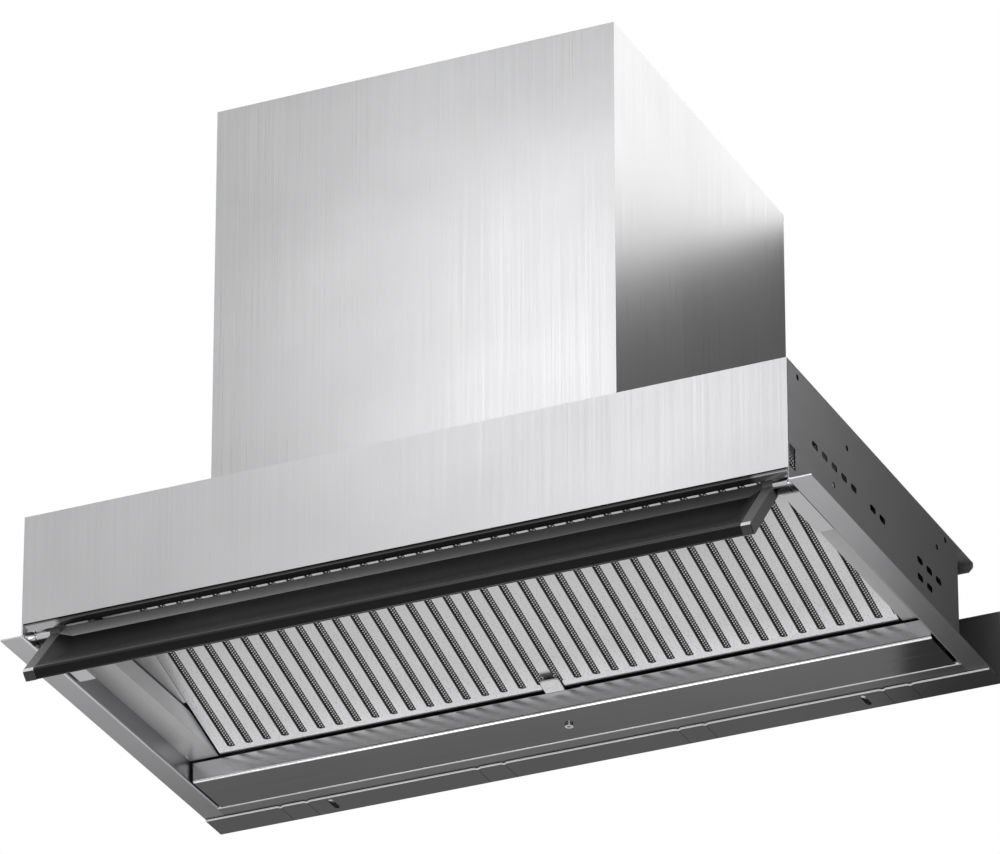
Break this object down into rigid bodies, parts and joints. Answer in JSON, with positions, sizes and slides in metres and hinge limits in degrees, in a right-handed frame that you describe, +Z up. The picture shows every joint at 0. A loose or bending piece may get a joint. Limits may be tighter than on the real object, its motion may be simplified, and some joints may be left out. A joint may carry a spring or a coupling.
{
  "type": "pull out range hood",
  "caption": "Built-in cabinet range hood: shallow steel case with a slotted sloping grease filter, a fold-out visor on its front edge, a blower casing with duct collar on top and a rear filler.",
  "frame": {"origin": "middle of the front edge of the seat plane, which is the upper face of the side flanges on which the cabinet's floor rests", "axes": "+X along the front to the right as the cook sees it, +Y from the front panel back to the wall, +Z up"},
  "size_m": [0.594, 0.3652, 0.4686],
  "materials": {
    "galvanised_sheet": "satin grey sheet steel",
    "brushed_front": "vertical brushed stainless steel",
    "polished_strip": "bright rolled strip",
    "brushed_liner": "brushed steel liner",
    "bright_screw": "bright zinc screw",
    "bright_steel": "turned bright steel",
    "lamp_body": "white lamp body",
    "lamp_lens": "frosted lens",
    "dark_plastic": "matt dark grey plastic",
    "brushed_casing": "vertical brushed stainless steel",
    "scroll_plastic": "grey blower plastic",
    "motor_cast": "cast motor housing",
    "visor_black": "satin black",
    "visor_gloss": "gloss black",
    "filter_steel": "brushed filter face",
    "filter_mesh_aluminium": "expanded aluminium mesh",
    "latch_satin": "satin grey latch",
    "impeller_plastic": "dark impeller plastic"
  },
  "bodies": {
    "case": {"side_wall_left": "galvanised_sheet", "side_wall_right": "galvanised_sheet", "case_top": "galvanised_sheet", "case_back": "galvanised_sheet", "front_panel": "brushed_front", "front_return": "polished_strip", "liner_left": "brushed_liner", "liner_right": "brushed_liner", "filter_baffle_left": "filter_steel", "filter_baffle_right": "filter_steel", "rear_channel": "brushed_liner", "channel_screw": "bright_screw", "hinge_cover_left": "brushed_liner", "hinge_cover_right": "brushed_liner", "hinge_stud_left": "bright_steel", "hinge_stud_right": "bright_steel", "light_panel": "brushed_liner", "light_bar": "lamp_body", "light_lens": "lamp_lens", "filter_hanger_left": "galvanised_sheet", "filter_hanger_right": "galvanised_sheet", "control_box": "dark_plastic", "cable_gland": "dark_plastic", "casing_front": "brushed_casing", "casing_side_left": "brushed_casing", "casing_side_right": "brushed_casing", "casing_back": "galvanised_sheet", "casing_top": "galvanised_sheet", "casing_screws": "bright_screw", "duct_collar": "dark_plastic", "flap_pin": "bright_steel", "scroll_wrap": "scroll_plastic", "scroll_side_left": "scroll_plastic", "scroll_side_right": "scroll_plastic", "fan_motor": "motor_cast", "motor_bracket": "galvanised_sheet", "motor_screws": "bright_screw", "filler_screws": "bright_screw"},
    "visor": {"visor_tray": "visor_black", "visor_lip": "visor_gloss", "visor_cap_left": "visor_black", "visor_cap_right": "visor_black", "visor_barrel_left": "bright_steel", "visor_barrel_right": "bright_steel"},
    "filter": {"filter_face": "filter_steel", "filter_mesh": "filter_mesh_aluminium", "filter_frame": "filter_steel", "filter_back": "filter_mesh_aluminium", "filter_pegs": "bright_steel", "latch_cover": "dark_plastic", "latch_spring": "bright_steel"},
    "latch": {"filter_latch": "latch_satin"},
    "filler": {"rear_filler": "galvanised_sheet"},
    "fan": {"impeller": "impeller_plastic", "motor_shaft": "bright_steel"},
    "flap_front": {"flap_front": "dark_plastic"},
    "flap_rear": {"flap_rear": "dark_plastic"}
  },
  "joints": [
    {"name": "visor_hinge", "type": "hinge", "parent": "case", "child": "visor", "pos_m": [0, 0.017, 0.0061], "axis": [1, 0, 0], "range_deg": [0, 131]},
    {"name": "filter_drop", "type": "hinge", "parent": "case", "child": "filter", "pos_m": [0, 0.07072, 0.07701], "axis": [1, 0, 0], "range_deg": [-45, 0]},
    {"name": "latch_slide", "type": "slide", "parent": "filter", "child": "latch", "axis": [0, -0.9548, 0.2974], "range_m": [0, 0.0045], "stiffness_N_per_m": 200, "springref_m": -0.004, "deforming": ["latch_spring"]},
    {"name": "filler_slide", "type": "slide", "parent": "case", "child": "filler", "axis": [0, 1, 0], "range_m": [-0.011, 0]},
    {"name": "fan_spin", "type": "hinge", "parent": "case", "child": "fan", "pos_m": [0, 0.115, 0.2495], "axis": [1, 0, 0], "continuous": true},
    {"name": "flap_front_hinge", "type": "hinge", "parent": "case", "child": "flap_front", "pos_m": [0, 0.18, 0.3925], "axis": [1, 0, 0], "range_deg": [-85, 0]},
    {"name": "flap_rear_hinge", "type": "hinge", "parent": "case", "child": "flap_rear", "pos_m": [0, 0.18, 0.3925], "axis": [1, 0, 0], "range_deg": [0, 85]}
  ]
}
